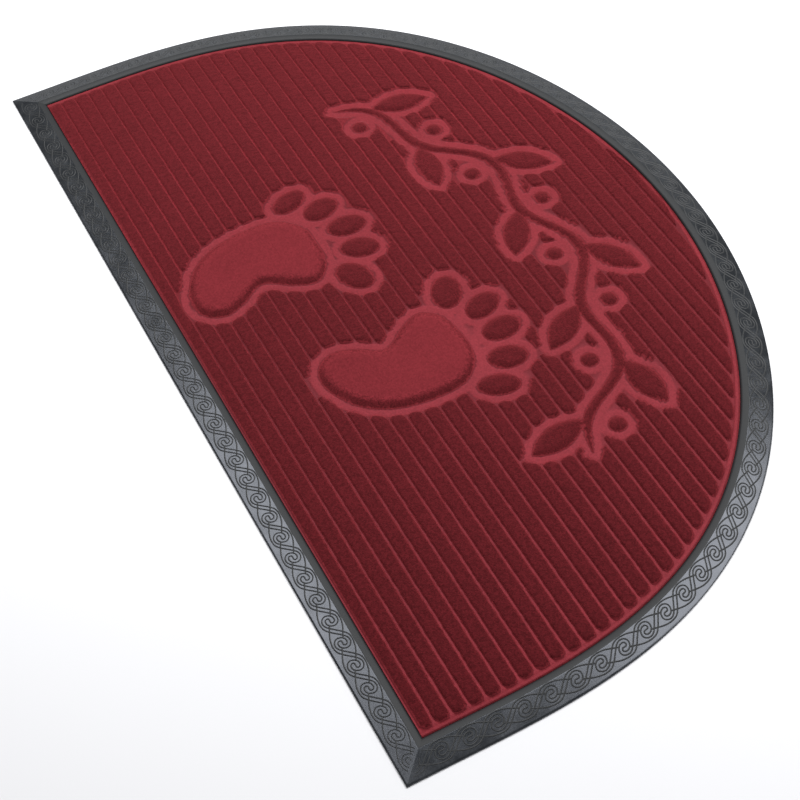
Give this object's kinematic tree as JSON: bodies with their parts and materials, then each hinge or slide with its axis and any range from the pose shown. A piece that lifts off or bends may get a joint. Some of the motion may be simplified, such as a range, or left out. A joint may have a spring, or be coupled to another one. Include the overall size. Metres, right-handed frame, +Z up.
{
  "type": "pvc doormat",
  "caption": "Half-round entrance mat: a moulded PVC base with a ramped border, and a ribbed carpet face with raised footprints and a leaf vine.",
  "frame": {"origin": "centre of the mat's bounding box, on the underside", "axes": "+X along the straight edge, +Y from the straight edge to the top of the arch, +Z up out of the carpet"},
  "size_m": [0.7508, 0.45, 0.0057],
  "materials": {
    "pvc_base": "moulded, satin",
    "ribbed_pile": "needle-felt pile, matt"
  },
  "bodies": {
    "root": {"base_with_border": "pvc_base", "ribbed_carpet": "ribbed_pile"}
  },
  "joints": []
}
